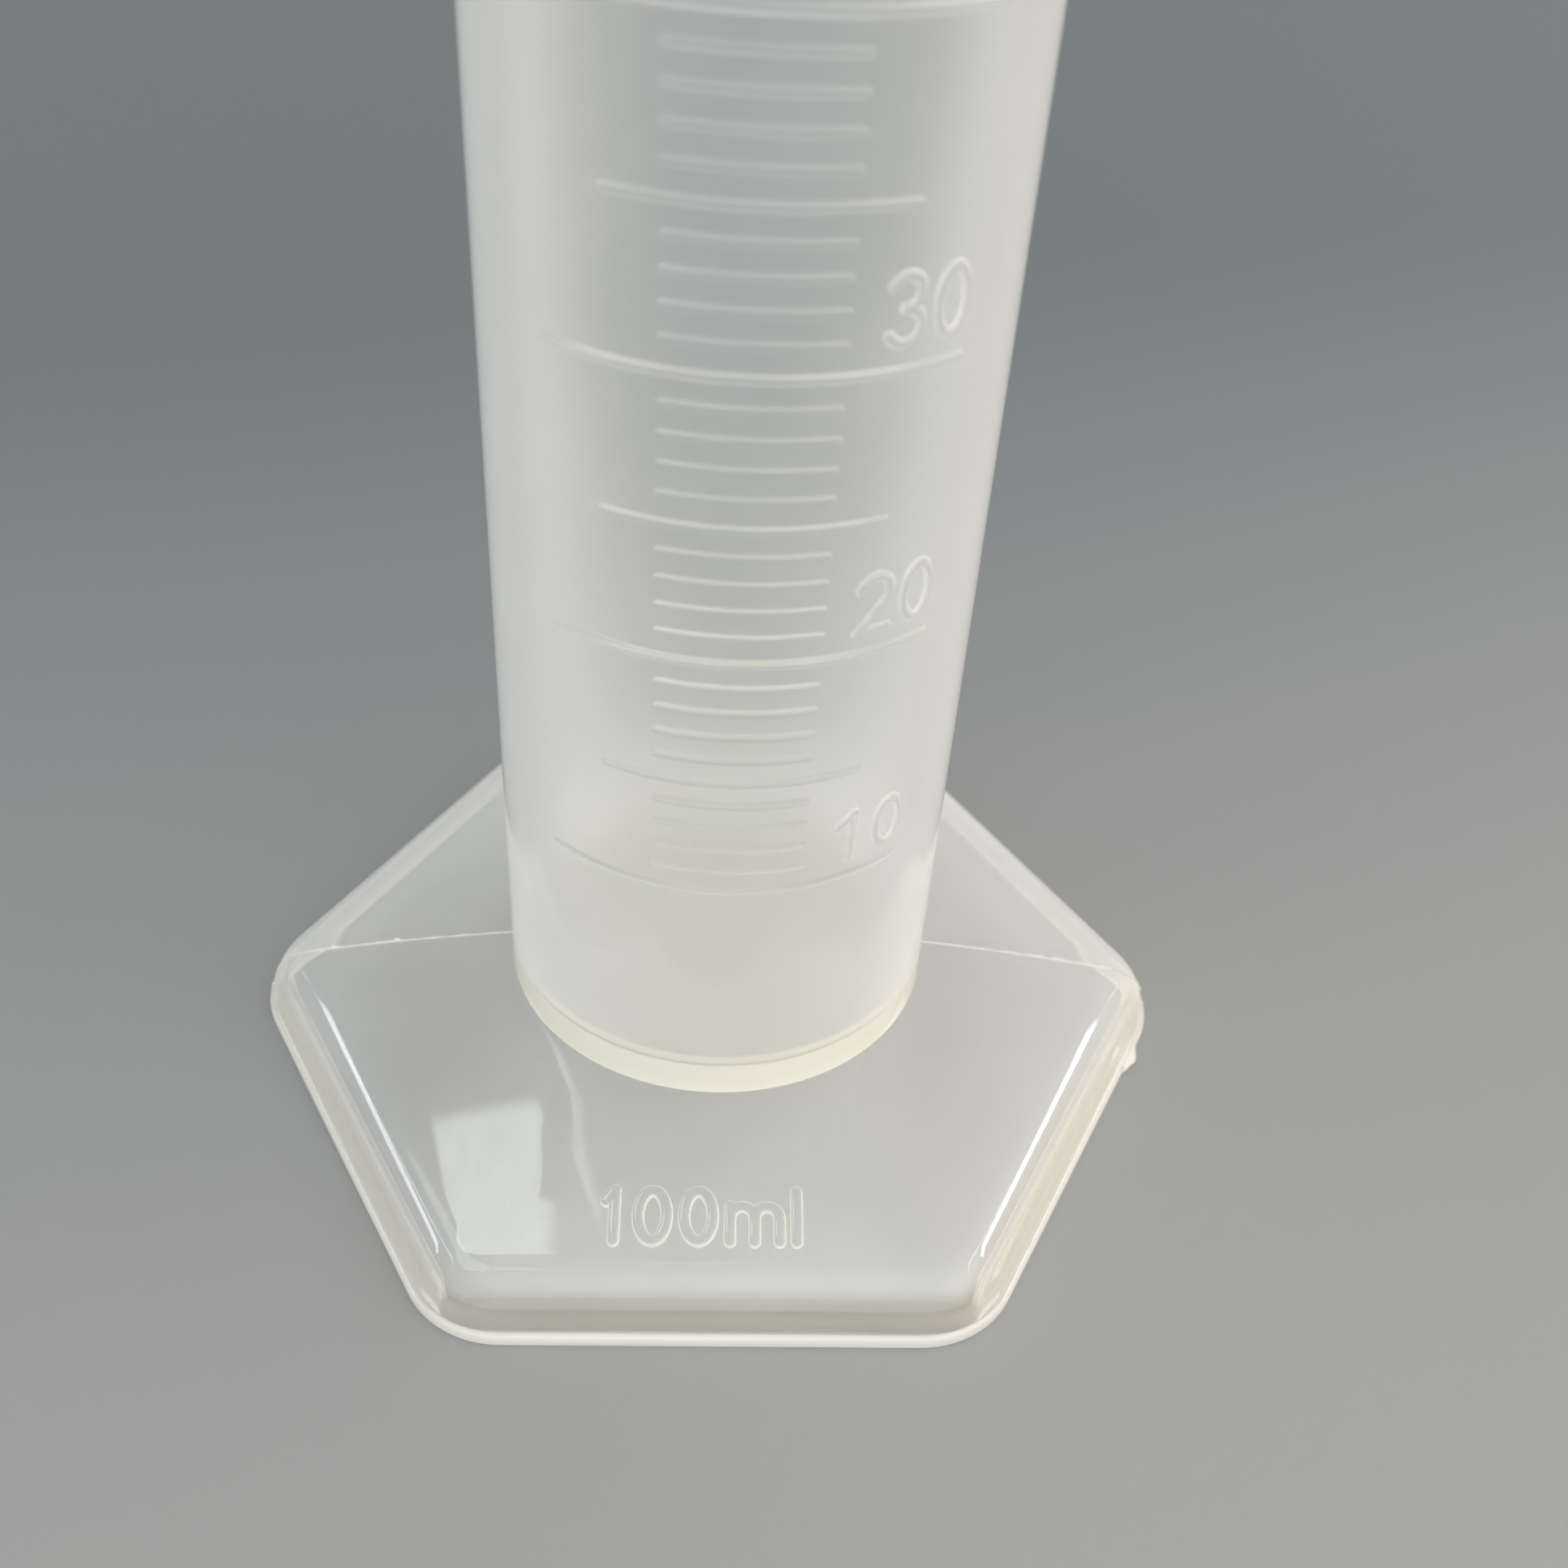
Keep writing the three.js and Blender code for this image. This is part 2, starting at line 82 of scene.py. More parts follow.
FOOT_CORNER_RADIUS = 7.2
FOOT_CORE = FOOT_APOTHEM - FOOT_CORNER_RADIUS
FOOT_WALL = 1.3
FOOT_TOP = TUBE_BOTTOM + FOOT_WALL
TOP_DOME = 0.3
FOOT_EDGE_HEIGHT = 4.4
FOOT_EDGE_APOTHEM = FOOT_APOTHEM - 3.3
SHOULDER = (FOOT_APOTHEM - 0.9, 3.73)
SIDE_TOP = (FOOT_APOTHEM - 0.6, 2.3)
LIP_HEIGHT = 1.0
LIP_PROUD = 0.35
CAVITY_CORNER_RADIUS = 2.5
CAVITY_APOTHEM = FOOT_APOTHEM - LIP_PROUD - FOOT_WALL

RIM_FLARE = 2.2
RIM_LIP = 0.85
RIM_THICKENING = 2 * RIM_LIP - (TUBE_RADIUS - BORE_RADIUS)
FLARE_START = RIM_BOTTOM + 5
SPOUT_REACH = -rim_low.x - rim_high.x
SPOUT_HALF_ANGLE = math.radians(42)
SPOUT_DIP = 0.9
SPOUT_SHARPNESS = 1.5

# ---- Fine shapes of the visual model ----

# Rounded edges of the foot. Each point is an inset from a face and a height above a level.
NECK = [(0.12, 0.6), (0.0, 0.15), (-0.05, 0.03)]
LIP_CREST = [(0.12, -0.02), (0.03, -0.1), (0.0, -0.25)]
LOWER_EDGE = [(0.0, 0.15), (0.05, 0.04), (0.15, 0.0)]
CAVITY_MOUTH = [(-0.15, 0.0), (-0.04, 0.04), (0.0, 0.15)]
CAVITY_WALL_TOP = (CAVITY_APOTHEM - 0.3, 1.7)
CAVITY_BEND = (CAVITY_APOTHEM - 0.5, FOOT_EDGE_HEIGHT - FOOT_WALL - 0.25)
CEILING_APOTHEM = CAVITY_APOTHEM - 1.9

# How far pieces are sunk into each other: the floor and the foot into the tube, and the tube into the foot.
BITE = 0.02
PLATE_OVERLAP = 0.05
VISUAL_FILLET = FLOOR_FILLET / 4

# Each line of the scale is (half angle in degrees, thickness, how far it stands out). The lowest line
# stands out by this share of that, and each millilitre above it by a little more.
LONG_LINE = (45.0, 0.75, 0.21)
MIDDLE_LINE = (30.0, 0.70, 0.14)
SHORT_LINE = (17.9, 0.70, 0.105)
LOWEST_RELIEF = 0.5
RELIEF_PER_ML = 0.08

# A ridge's shape is how flat its top is, and how steep its sides are.
SOFT = (2.0, 2.0)
ROUND = (2.0, 1.0)
FLAT = (6.0, 0.8)
MARK_SINK = 0.4
SEAM_SINK = 0.3

SCALE_TEXT = {
    "width": 2.65, "height": 4.15, "stroke": 0.7, "proud": 0.22, "shape": ROUND,
    "pitch": 2.95, "above": 1.05,
}
FOOT_TEXT = {"width": 2.7, "height": 4.2, "stroke": 0.85, "proud": 0.25, "shape": FLAT, "gap": 0.25}
FOOT_TEXT_RIGHT = -0.9
FOOT_TEXT_FORWARD = 26.1
FOOT_TEXT_BACK = 22.0

TUBE_SEAM = {"half_width": 0.12, "proud": 0.06}
# The foot's seam stands out by its height, give or take its waves, and more where it is rough near a corner.
FOOT_SEAM = {"half_width": 0.055, "height": 0.07, "waves": 0.05, "roughness": 0.30}
ROUGH_FROM = 7.0
ROUGH_OVER = 4.0
# Nibs of flash on the left seam: (distance from the tube, height).
SEAM_NIBS = [(8.8, 0.30), (13.5, 0.14)]
SEAM_NIB_SPREAD = 0.22
# A nib of flash on the lip: from start to end along the face, seen from the face's middle.
LIP_NIB = {"start": 9.3, "end": 12.1, "height": 0.75, "half_width": 0.33, "level": 0.62}

COLUMNS = 360
CORNER_STEPS = 20
FLAT_STEPS = 20


# ---- Mesh building ----


def mesh_object(name, points, faces):
    """An object from points in millimetres."""
    mesh = bpy.data.meshes.new(name)
    mesh.from_pydata((np.asarray(points, float) * MM).tolist(), [], faces)
    mesh.validate()
    made = bpy.data.objects.new(name, mesh)
    bpy.context.scene.collection.objects.link(made)
    return made


def loft_faces(ring_count, size, start=0):
    """Quads between rings of one size that follow each other, the last one joined to the first."""
    faces = []
    for i in range(ring_count):
        here = start + i * size
        following = start + ((i + 1) % ring_count) * size
        for j in range(size):
            k = (j + 1) % size
            faces.append((here + j, following + j, following + k, here + k))
    return faces


def capped_faces(ring_count, size, start=0):
    """Quads between rings of one size, and a flat face across the first ring and the last."""
    faces = loft_faces(ring_count, size, start)[: (ring_count - 1) * size]
    faces.append(tuple(range(start, start + size)))
    last = start + (ring_count - 1) * size
    faces.append(tuple(range(last + size - 1, last - 1, -1)))
    return faces


def closed_loft(name, rings):
    """A closed skin. Rings run anticlockwise seen from above: out over the top, down, in and back up."""
    return mesh_object(name, np.concatenate(rings), loft_faces(len(rings), len(rings[0])))


def smooth(piece, angle):
    """Smooth shading that keeps edges sharper than angle degrees."""
    piece.data.shade_smooth()
    piece.data.set_sharp_from_angle(angle=math.radians(angle))


def unite(piece, others):
    """Joins others into piece as one body, and removes them."""
    for other in others:
        modifier = piece.modifiers.new("union", "BOOLEAN")
        modifier.operation = "UNION"
        modifier.solver = "MANIFOLD"
        modifier.object = other
    bpy.context.view_layer.update()
    evaluated = piece.evaluated_get(bpy.context.evaluated_depsgraph_get())
    joined = bpy.data.meshes.new_from_object(evaluated)
    piece.modifiers.clear()
    piece.data = joined
    for other in others:
        bpy.data.objects.remove(other)


def finish_piece(piece, slot, *nodes):
    """Fixes a piece to the root body, in place of the CAD's nodes."""
    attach(piece, "root")
    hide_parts(*nodes)
    return piece


# ---- Curves ----


def arc(centre_x, centre_y, radius_x, radius_y, start, end, steps):
    angles = np.radians(np.linspace(start, end, steps + 1))
    return [(centre_x + radius_x * math.cos(a), centre_y + radius_y * math.sin(a)) for a in angles]


def straight(start, end, steps=4):
    return [tuple(p) for p in np.linspace(start, end, steps + 1)]


def bezier(start, middle, end, steps):
    """A curve from start, drawn towards middle, to end."""
    start, middle, end = np.array(start), np.array(middle), np.array(end)
    points = []
    for t in np.linspace(0, 1, steps + 1):
        points.append(tuple((1 - t) ** 2 * start + 2 * t * (1 - t) * middle + t * t * end))
    return points


# ---- Raised strokes: lines, characters and seams ----


def ridge_section(half_width, proud, sink, shape):
    """Across a raised stroke, from right to left over the top, and closed below the surface."""
    flatness, steepness = shape
    steps = 10
    section = []
    for i in range(steps + 1):
        across = -math.cos(math.pi * i / steps)
        height = (1 - abs(across) ** flatness) ** steepness
        section.append((across * half_width, height * proud))
    return section + [(half_width, -sink), (-half_width, -sink)]


def make_stroke(path, section, half_width, closed=False, swell=None):
    """A stroke's path, whether it closes, its section, its half width, and how tall it is along its path."""
    return path, closed, section, half_width, swell or [1.0] * len(path)


def headings(path, closed):
    """Unit tangents of a flat path."""
    if closed:
        along = np.roll(path, -1, axis=0) - np.roll(path, 1, axis=0)
    else:
        along = np.gradient(path, axis=0)
    return along / np.linalg.norm(along, axis=1, keepdims=True)


def rounded_end(centre, heading, swell, reach):
    """Stations that narrow towards a stroke's end, which lies reach beyond centre."""
    stations = []
    for turn in np.radians((20, 40, 58, 74)):
        stations.append((centre + heading * reach * math.sin(turn), heading, math.cos(turn), swell))
    return stations


def stroke_rings(path, closed, section, half_width, swell):
    """The section carried along the path as (x, y, height) rings, with rounded ends if it is open."""
    path = np.asarray(path, float)
    along = headings(path, closed)
    stations = [(spot, heading, 1.0, tall) for spot, heading, tall in zip(path, along, swell)]
    if not closed:
        head = rounded_end(path[0], along[0], swell[0], -half_width)
        tail = rounded_end(path[-1], along[-1], swell[-1], half_width)
        stations = head[::-1] + stations + tail
    rings = []
    for centre, heading, narrow, tall in stations:
        left = np.array([-heading[1], heading[0]])
        ring = []
        for offset, height in section:
            x, y = centre + left * offset * narrow
            raised = height * tall * math.sqrt(narrow) if height > 0 else height
            ring.append((x, y, raised))
        rings.append(ring)
    return rings


def strokes_object(name, strokes, place):
    """One object of separate solid strokes. Place puts a flat point and its height on the surface."""
    points, faces = [], []
    for stroke in strokes:
        rings = stroke_rings(*stroke)
        closed = stroke[1]
        join = loft_faces if closed else capped_faces
        faces.extend(join(len(rings), len(rings[0]), len(points)))
        points.extend(place(*spot) for ring in rings for spot in ring)
    return mesh_object(name, points, faces)


# ---- Characters: plain strokes of one width ----


def character(name, w, h):
    """Centre lines in a box w by h, as (path, closed) pairs."""
    if name == "0":
        return [(arc(w / 2, h / 2, w / 2, h / 2, 0, 360, 32)[:-1], True)]
    if name == "1":
        return [
            (straight((0.6 * w, 0), (0.6 * w, h)), False),
            (straight((0.6 * w, h), (0.1 * w, 0.78 * h)), False),
        ]
    if name == "2":
        bend = arc(w / 2, h - w / 2, w / 2, w / 2, 165, -30, 14)
        return [
            (bend + straight(bend[-1], (0, 0))[1:], False),
            (straight((0, 0), (w, 0)), False),
        ]
    if name == "3":
        return [
            (arc(0.46 * w, 0.76 * h, 0.46 * w, 0.24 * h, 150, -90, 16), False),
            (arc(w / 2, 0.26 * h, w / 2, 0.26 * h, 90, -150, 16), False),
        ]
    if name == "4":
        return [
            (straight((0.72 * w, 0), (0.72 * w, h)), False),
            (straight((0.72 * w, h), (0, 0.3 * h)), False),
            (straight((0, 0.3 * h), (w, 0.3 * h)), False),
        ]
    if name == "5":
        return [
            (straight((0.92 * w, h), (0.1 * w, h)), False),
            (straight((0.1 * w, h), (0.05 * w, 0.52 * h)), False),
            (arc(0.46 * w, 0.31 * h, 0.54 * w, 0.31 * h, 140, -150, 18), False),
        ]
    if name == "6":
        return [
            (arc(w / 2, 0.3 * h, w / 2, 0.3 * h, 0, 360, 24)[:-1], True),
            (arc(w, 0.31 * h, w, 0.69 * h, 180, 100, 10), False),
        ]
    if name == "7":
        return [
            (straight((0, h), (w, h)), False),
            (straight((w, h), (0.3 * w, 0)), False),
        ]
    if name == "8":
        return [
            (arc(w / 2, 0.27 * h, w / 2, 0.27 * h, 0, 360, 24)[:-1], True),
            (arc(w / 2, 0.77 * h, 0.44 * w, 0.23 * h, 0, 360, 24)[:-1], True),
        ]
    if name == "9":
        return [
            (arc(w / 2, 0.7 * h, w / 2, 0.3 * h, 0, 360, 24)[:-1], True),
            (arc(0, 0.69 * h, w, 0.69 * h, 0, -80, 10), False),
        ]
    if name == "m":
        arch, top = w / 4, 0.7 * h
        leg = straight((2 * arch, top - arch), (2 * arch, 0))[1:]
        first = arc(arch, top - arch, arch, arch, 180, 0, 12) + leg
        second = [(x + 2 * arch, y) for x, y in first]
        return [(straight((0, 0), (0, top)), False), (first, False), (second, False)]
    if name == "l":
        return [(straight((0, 0), (0, h)), False)]
    raise ValueError(name)


def add_character(layers, name, text, left, bottom, width):
    """Adds a character's strokes to the layers, one to each, so that no two in a layer touch."""
    half = text["stroke"] / 2
    section = ridge_section(half, text["proud"], MARK_SINK, text["shape"])
    paths = character(name, width - text["stroke"], text["height"] - text["stroke"])
    for layer, (path, closed) in zip(layers, paths):
        moved = [(x + left + half, y + bottom + half) for x, y in path]
        layer.append(make_stroke(moved, section, half, closed))


# ---- The tube, its rim and its scale ----


def circle_ring(radius, height):
    angles = np.radians(np.arange(COLUMNS) * 360 / COLUMNS)
    return np.stack([radius * np.cos(angles), radius * np.sin(angles), np.full(COLUMNS, height)], axis=1)


def rim_ring(radius, height, share):
    """A ring of the rim, drawn out to the spout on -X by its share."""
    angles = np.radians(np.arange(COLUMNS) * 360 / COLUMNS)
    from_spout = np.clip(np.abs(angles - math.pi) / SPOUT_HALF_ANGLE, 0, 1)
    bulge = (0.5 + 0.5 * np.cos(math.pi * from_spout)) ** SPOUT_SHARPNESS
    reach = radius + SPOUT_REACH * bulge * share**2
    drop = SPOUT_DIP * bulge * share
    return np.stack([reach * np.cos(angles), reach * np.sin(angles), height - drop], axis=1)


def rim_rings():
    """Up the inside of the flare, over the round lip and down the outside."""
    lip_height = OVERALL_HEIGHT - RIM_LIP
    inner, outer = [], []
    for share in np.linspace(0, 1, 15):
        height = FLARE_START + (lip_height - FLARE_START) * share
        inner.append(rim_ring(BORE_RADIUS + RIM_FLARE * share**2, height, share))
        outer.append(rim_ring(TUBE_RADIUS + (RIM_FLARE + RIM_THICKENING) * share**2, height, share))
    middle = BORE_RADIUS + RIM_FLARE + RIM_LIP
    crown = []
    for turn in np.radians(np.arange(15, 180, 15)):
        radius = middle - RIM_LIP * math.cos(turn)
        crown.append(rim_ring(radius, lip_height + RIM_LIP * math.sin(turn), 1))
    return inner + crown + outer[::-1]


def on_tube(across, height, proud):
    """Rolls a flat point on to the front of the tube."""
    angle = across / TUBE_RADIUS
    radius = TUBE_RADIUS + proud
    return radius * math.sin(angle), -radius * math.cos(angle), height


def level_height(millilitres):
    return FLOOR_TOP + millilitres * MM_PER_ML


def scale_line(millilitres, half_angle, thickness, proud):
    """A rounded line bent round the front of the tube. The lowest lines stand out least."""
    relief = min(LOWEST_RELIEF + RELIEF_PER_ML * (millilitres - FIRST_LINE), 1.0)
    reach = math.radians(half_angle) * TUBE_RADIUS - thickness / 2
    every_degree = [math.radians(a) * TUBE_RADIUS for a in range(-90, 91)]
    xs = [-reach, *[x for x in every_degree if abs(x) < reach], reach]
    path = [(x, level_height(millilitres)) for x in xs]
    return make_stroke(path, ridge_section(thickness / 2, proud * relief, MARK_SINK, SOFT), thickness / 2)


def scale_lines():
    lines = []
    for millilitres in range(FIRST_LINE, CAPACITY + 1):
        if millilitres % 10 == 0:
            lines.append(scale_line(millilitres, *LONG_LINE))
        elif millilitres % 5 == 0:
            lines.append(scale_line(millilitres, *MIDDLE_LINE))
        else:
            lines.append(scale_line(millilitres, *SHORT_LINE))
    return lines


def scale_numbers():
    """Every number above its long line, ending where the line ends, in three layers of strokes."""
    layers = [[], [], []]
    line_end = math.radians(LONG_LINE[0]) * TUBE_RADIUS
    for millilitres in range(FIRST_LINE, CAPACITY + 1, 10):
        bottom = level_height(millilitres) + SCALE_TEXT["above"]
        digits = str(millilitres)
        for place, name in enumerate(reversed(digits)):
            left = line_end - SCALE_TEXT["width"] - place * SCALE_TEXT["pitch"]
            add_character(layers, name, SCALE_TEXT, left, bottom, SCALE_TEXT["width"])
    return layers


def tube_seams():
    """The faint seams of the split mould, up both sides of the tube."""
    half_width = TUBE_SEAM["half_width"]
    section = ridge_section(half_width, TUBE_SEAM["proud"], SEAM_SINK, ROUND)
    seams = []
    for side in (-1, 1):
        x = side * math.pi / 2 * TUBE_RADIUS
        seams.append(make_stroke(straight((x, FOOT_TOP + 1), (x, FLARE_START - 1), 60), section, half_width))
    return seams


def radial_normals(piece):
    """Gives the plain wall, inside and out, the exact normals of a cylinder."""
    tolerance = 0.01
    mesh = piece.data
    normals = [tuple(n.vector) for n in mesh.corner_normals]
    for face in mesh.polygons:
        spots = [mesh.vertices[i].co / MM for i in face.vertices]
        upright = abs(face.normal.z) < tolerance
        radii = [math.hypot(s.x, s.y) for s in spots]
        for radius, way in ((TUBE_RADIUS, 1), (BORE_RADIUS, -1)):
            if upright and all(abs(r - radius) < tolerance for r in radii):
                for loop, spot, r in zip(face.loop_indices, spots, radii):
                    normals[loop] = (way * spot.x / r, way * spot.y / r, 0)
    mesh.normals_split_custom_set(normals)


def build_tube():
    """The wall with its scale and rim. It ends in the foot's plate, so that nothing shows below."""
    wall_end = FOOT_TOP - PLATE_OVERLAP
    wall_top = FLARE_START - 1
    inside = [circle_ring(BORE_RADIUS, wall_end), circle_ring(BORE_RADIUS, wall_top)]
    outside = [circle_ring(TUBE_RADIUS, wall_top), circle_ring(TUBE_RADIUS, wall_end)]
    tube = closed_loft("tube_and_rim", inside + rim_rings() + outside)
    marks = [strokes_object("lines", scale_lines() + tube_seams(), on_tube)]
    marks += [strokes_object("numbers", layer, on_tube) for layer in scale_numbers()]
    unite(tube, marks)
    smooth(tube, 50)
    radial_normals(tube)
    return finish_piece(tube, "milky_polypropylene", "graduated_tube", "pour_rim")


def build_floor():
    """The disc that closes the tube. Its fillet is lower than the CAD's, to hide behind the bright ring."""
    centre_radius = 0.4
    edge = BORE_RADIUS + BITE
    fillet_centre = (edge - VISUAL_FILLET, FLOOR_TOP + VISUAL_FILLET)
    profile = [(centre_radius, FLOOR_TOP)]
    profile += arc(*fillet_centre, VISUAL_FILLET, VISUAL_FILLET, -90, -6, 8)
    profile += [(edge, FLOOR_BOTTOM), (centre_radius, FLOOR_BOTTOM)]
    rings = [circle_ring(radius, height) for radius, height in profile]
    disc = mesh_object("floor_disc", np.concatenate(rings), capped_faces(len(rings), COLUMNS))
    smooth(disc, 40)
    return finish_piece(disc, "milky_polypropylene", "tube_floor")


# ---- The hexagonal foot ----


def hexagon_ring(apothem, corner_radius, height, circle_radius=0.0, towards_circle=0.0):
    """A hexagon with rounded corners, drawn in to a circle by its share."""
    centre_distance = (apothem - corner_radius) / math.cos(math.pi / 6)
    centres = [np.array(centre) for centre in arc(0, 0, centre_distance, centre_distance, 0, 360, 6)]
    points = []
    for k in range(6):
        corner = arc(*centres[k], corner_radius, corner_radius, 60 * k - 30, 60 * k + 30, CORNER_STEPS)
        points.extend(corner)
        along = centres[k + 1] - centres[k]
        points.extend(np.array(corner[-1]) + along * step / FLAT_STEPS for step in range(1, FLAT_STEPS))
    outline = np.array(points)
    circle = outline / np.linalg.norm(outline, axis=1, keepdims=True) * circle_radius
    mixed = outline * (1 - towards_circle) + circle * towards_circle
    return np.column_stack([mixed, np.full(len(mixed), height)])


def foot_top_height(share):
    """From 0 at the tube to 1 at the edge: a slope, slightly domed."""
    fall = (1 - TOP_DOME) * share + TOP_DOME * share**2
    return FOOT_TOP - (FOOT_TOP - FOOT_EDGE_HEIGHT) * fall


def foot_side_points():
    """From the edge of the top down to the table, as (apothem, height): shoulder, side and lip."""
    shoulder = bezier((FOOT_EDGE_APOTHEM, FOOT_EDGE_HEIGHT), SHOULDER, SIDE_TOP, 14)[1:]
    neck = [(FOOT_APOTHEM - LIP_PROUD - inset, LIP_HEIGHT + up) for inset, up in NECK]
    crest = [(FOOT_APOTHEM - inset, LIP_HEIGHT + up) for inset, up in LIP_CREST]
    lower_edge = [(FOOT_APOTHEM - inset, up) for inset, up in LOWER_EDGE]
    return shoulder + neck + crest + lower_edge


def cavity_points():
    """From the table up the inside of the wall to the ceiling, as (apothem, height)."""
    mouth = [(CAVITY_APOTHEM - inset, up) for inset, up in CAVITY_MOUTH]
    ceiling_edge = (CEILING_APOTHEM, FOOT_EDGE_HEIGHT - FOOT_WALL)
    return mouth + bezier(CAVITY_WALL_TOP, CAVITY_BEND, ceiling_edge, 8)[:-1]


def foot_rings():
    """From the bore out over the top, down the side, in under the lip and back along the ceiling."""
    junction = TUBE_RADIUS - BITE
    shares = np.linspace(0, 1, 19)
    edge_corner = FOOT_EDGE_APOTHEM - FOOT_CORE
    rings = [hexagon_ring(FOOT_EDGE_APOTHEM, edge_corner, FOOT_TOP, BORE_RADIUS, 1)]
    for share in shares:
        height = foot_top_height(share)
        rings.append(hexagon_ring(FOOT_EDGE_APOTHEM, edge_corner, height, junction, 1 - share))
    rings += [hexagon_ring(apothem, apothem - FOOT_CORE, z) for apothem, z in foot_side_points()]
    rings += [hexagon_ring(apothem, CAVITY_CORNER_RADIUS, z) for apothem, z in cavity_points()]
    for share in shares[::-1]:
        height = foot_top_height(share) - FOOT_WALL
        rings.append(hexagon_ring(CEILING_APOTHEM, CAVITY_CORNER_RADIUS, height, junction, 1 - share))
    rings.append(hexagon_ring(CEILING_APOTHEM, CAVITY_CORNER_RADIUS, TUBE_BOTTOM, BORE_RADIUS, 1))
    return rings


def corner_curve():
    """The foot's surface along a corner, as (distance from the axis, height), and its outward normals."""
    seam_end = 0.1
    centre = FOOT_CORE / math.cos(math.pi / 6)
    edge = centre + FOOT_EDGE_APOTHEM - FOOT_CORE
    crest = []
    for share in np.linspace(0, 1, 40):
        crest.append((TUBE_RADIUS + share * (edge - TUBE_RADIUS), foot_top_height(share)))
    flank = [(centre + apothem - FOOT_CORE, z) for apothem, z in foot_side_points() if z > seam_end]
    curve = np.array(crest + flank)
    along = np.gradient(curve, axis=0)
    along /= np.linalg.norm(along, axis=1, keepdims=True)
    return curve, np.column_stack([-along[:, 1], along[:, 0]])


def seam_height(distance, side):
    """How far the seam's flash stands out: rougher near the corner, with two nibs on the left."""
    slow = noise.noise(Vector((distance * 0.9, 7.0 * side, 0)))
    quick = noise.noise(Vector((distance * 2.6, 3.0 * side, 4.0)))
    near_corner = min(max((distance - ROUGH_FROM) / ROUGH_OVER, 0.0), 1.0)
    height = FOOT_SEAM["height"] + FOOT_SEAM["waves"] * slow
    height += FOOT_SEAM["roughness"] * abs(quick) * near_corner
    if side < 0:
        for spot, tall in SEAM_NIBS:
            height += tall * math.exp(-((distance - spot) / SEAM_NIB_SPREAD) ** 2)
    return height


def foot_seam(side):
    """The seam of the split mould, from the tube to the lip on one side of the foot."""
    curve, outwards = corner_curve()
    steps = np.linalg.norm(np.diff(curve, axis=0), axis=1)
    lengths = np.concatenate([[0], np.cumsum(steps)])

    def on_crest(along, across, proud):
        reach = np.interp(along, lengths, curve[:, 0]) + proud * np.interp(along, lengths, outwards[:, 0])
        height = np.interp(along, lengths, curve[:, 1]) + proud * np.interp(along, lengths, outwards[:, 1])
        return side * reach, side * across, height

    half_width = FOOT_SEAM["half_width"]
    stations = np.linspace(0.1, lengths[-1] - 0.05, 160)
    section = ridge_section(half_width, 1.0, SEAM_SINK, ROUND)
    swell = [seam_height(station, side) for station in stations]
    path = [(station, 0.0) for station in stations]
    return strokes_object("seam", [make_stroke(path, section, half_width, swell=swell)], on_crest)


def lip_nib():
    """A torn nib of flash on the lip, a little in front of the right corner."""
    angle = math.radians(-30)
    start, end = LIP_NIB["start"], LIP_NIB["end"]

    def on_lip(along, up, proud):
        reach = FOOT_APOTHEM + proud
        x = reach * math.cos(angle) - along * math.sin(angle)
        y = reach * math.sin(angle) + along * math.cos(angle)
        return x, y, LIP_NIB["level"] + up

    path, swell = [], []
    for spot in np.linspace(start, end, 24):
        hump = math.sin(math.pi * (spot - start) / (end - start)) ** 0.8
        tear = 0.75 + 0.4 * noise.noise(Vector((spot * 1.3, 1.0, 0.5)))
        path.append((spot, 0.0))
        swell.append(LIP_NIB["height"] * hump * tear)
    half_width = LIP_NIB["half_width"]
    section = ridge_section(half_width, 1.0, SEAM_SINK, ROUND)
    return strokes_object("nib", [make_stroke(path, section, half_width, swell=swell)], on_lip)


def capacity_layers():
    """The capacity, centred in a row, in three layers of strokes."""
    width, gap = FOOT_TEXT["width"], FOOT_TEXT["gap"]
    widths = {"1": 0.7 * width, "0": width, "m": 1.5 * width, "l": FOOT_TEXT["stroke"]}
    names = [*str(CAPACITY), "m", "l"]
    left = -(sum(widths[name] + gap for name in names) - gap) / 2
    layers = [[], [], []]
    for name in names:
        add_character(layers, name, FOOT_TEXT, left, 0.0, widths[name])
        left += widths[name] + gap
    return layers


def on_foot_front(across, up, proud):
    """Lays a flat point on the slope at the front of the foot."""
    span = FOOT_EDGE_APOTHEM - TUBE_RADIUS
    low = foot_top_height((FOOT_TEXT_FORWARD - TUBE_RADIUS) / span)
    high = foot_top_height((FOOT_TEXT_BACK - TUBE_RADIUS) / span)
    slope = math.atan2(high - low, FOOT_TEXT_FORWARD - FOOT_TEXT_BACK)
    y = -FOOT_TEXT_FORWARD + up * math.cos(slope) - proud * math.sin(slope)
    z = low + up * math.sin(slope) + proud * math.cos(slope)
    return across + FOOT_TEXT_RIGHT, y, z


def build_foot():
    foot = closed_loft("hexagonal_foot", foot_rings())
    marks = [strokes_object("capacity", layer, on_foot_front) for layer in capacity_layers()]
    unite(foot, marks + [foot_seam(1), foot_seam(-1), lip_nib()])
    smooth(foot, 40)
    return finish_piece(foot, "clear_polypropylene", "hex_base")


# ---- Materials ----

